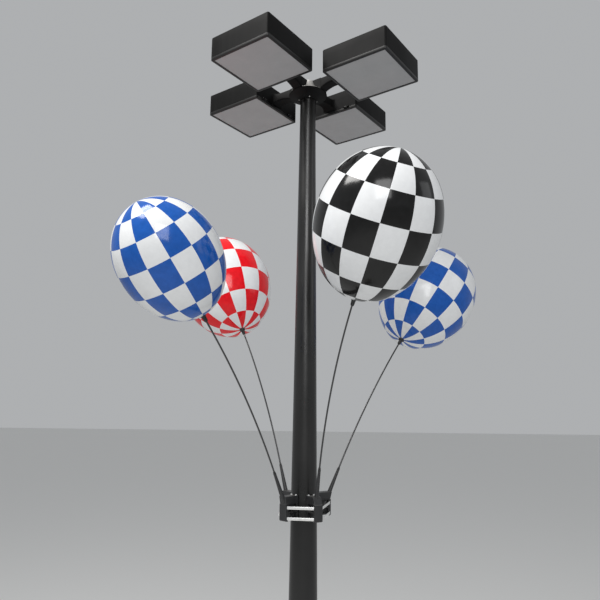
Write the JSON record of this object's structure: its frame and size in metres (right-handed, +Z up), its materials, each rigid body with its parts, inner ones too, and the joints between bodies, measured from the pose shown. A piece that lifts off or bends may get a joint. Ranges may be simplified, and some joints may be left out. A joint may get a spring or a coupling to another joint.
{
  "type": "light pole balloon display",
  "caption": "Tapered area-light pole on a concrete pier, with square lamp heads on a hub and a strapped-on ring of sockets whose bowed rods hold checked egg-shaped balloons.",
  "frame": {"origin": "centre of the pier's underside, on the pole's axis", "axes": "+Z up along the pole; -Y is the front, towards the picture camera; +X is to the right as seen from the front"},
  "size_m": [2.6659, 2.5216, 6.929],
  "materials": {
    "concrete": "cast concrete with form rings",
    "grout": "trowelled mortar",
    "galvanised": "hot-dip galvanised",
    "pole_paint": "dark satin powder coat",
    "cap_metal": "bare weathered metal",
    "hub_paint": "black satin powder coat",
    "head_paint": "dark satin powder coat",
    "door_paint": "black satin powder coat",
    "lens": "frosted tempered glass",
    "stainless": "bright stainless band",
    "black_plastic": "moulded black",
    "fibreglass": "black pultruded rod",
    "balloon_blue": "glossy vinyl, blue and white checks",
    "balloon_red": "glossy vinyl, red and white checks",
    "balloon_black": "glossy vinyl, black and white checks"
  },
  "bodies": {
    "root": {"pier": "concrete", "grout_pad": "grout", "base_plate": "galvanised", "pole_shaft": "pole_paint", "handhole_cover": "pole_paint", "pole_cap": "cap_metal", "hub": "hub_paint", "arm_front_left": "hub_paint", "housing_front_left": "head_paint", "arm_front_right": "hub_paint", "housing_front_right": "head_paint", "arm_back_left": "hub_paint", "housing_back_left": "head_paint", "arm_back_right": "hub_paint", "housing_back_right": "head_paint", "band_upper": "stainless", "band_lower": "stainless", "bracket_left": "black_plastic", "bracket_rear": "black_plastic", "bracket_front": "black_plastic", "bracket_right": "black_plastic"},
    "door_front_left": {"door_front_left": "door_paint", "lens_front_left": "lens"},
    "door_front_right": {"door_front_right": "door_paint", "lens_front_right": "lens"},
    "door_back_left": {"door_back_left": "door_paint", "lens_back_left": "lens"},
    "door_back_right": {"door_back_right": "door_paint", "lens_back_right": "lens"},
    "rod_left": {"rod_left": "fibreglass", "cup_left": "black_plastic", "balloon_left": "balloon_blue"},
    "rod_rear": {"rod_rear": "fibreglass", "cup_rear": "black_plastic", "balloon_rear": "balloon_red"},
    "rod_front": {"rod_front": "fibreglass", "cup_front": "black_plastic", "balloon_front": "balloon_black"},
    "rod_right": {"rod_right": "fibreglass", "cup_right": "black_plastic", "balloon_right": "balloon_blue"}
  },
  "joints": [
    {"name": "door_front_left_hinge", "type": "hinge", "parent": "root", "child": "door_front_left", "pos_m": [-0.17688, -0.24908, 6.77], "axis": [0.8153, -0.579, 0], "range_deg": [0, 90]},
    {"name": "door_front_right_hinge", "type": "hinge", "parent": "root", "child": "door_front_right", "pos_m": [0.24908, -0.17688, 6.77], "axis": [0.579, 0.8153, 0], "range_deg": [0, 90]},
    {"name": "door_back_left_hinge", "type": "hinge", "parent": "root", "child": "door_back_left", "pos_m": [-0.24908, 0.17688, 6.77], "axis": [-0.579, -0.8153, 0], "range_deg": [0, 90]},
    {"name": "door_back_right_hinge", "type": "hinge", "parent": "root", "child": "door_back_right", "pos_m": [0.17688, 0.24908, 6.77], "axis": [-0.8153, 0.579, 0], "range_deg": [0, 90]},
    {"name": "rod_left_lift", "type": "slide", "parent": "root", "child": "rod_left", "axis": [-0.297, -0.3287, 0.8965], "range_m": [0, 0.32]},
    {"name": "rod_rear_lift", "type": "slide", "parent": "root", "child": "rod_rear", "axis": [-0.2274, 0.2598, 0.9385], "range_m": [0, 0.32]},
    {"name": "rod_front_lift", "type": "slide", "parent": "root", "child": "rod_front", "axis": [0.0933, -0.1762, 0.9799], "range_m": [0, 0.32]},
    {"name": "rod_right_lift", "type": "slide", "parent": "root", "child": "rod_right", "axis": [0.3878, 0.2646, 0.8829], "range_m": [0, 0.32]}
  ]
}
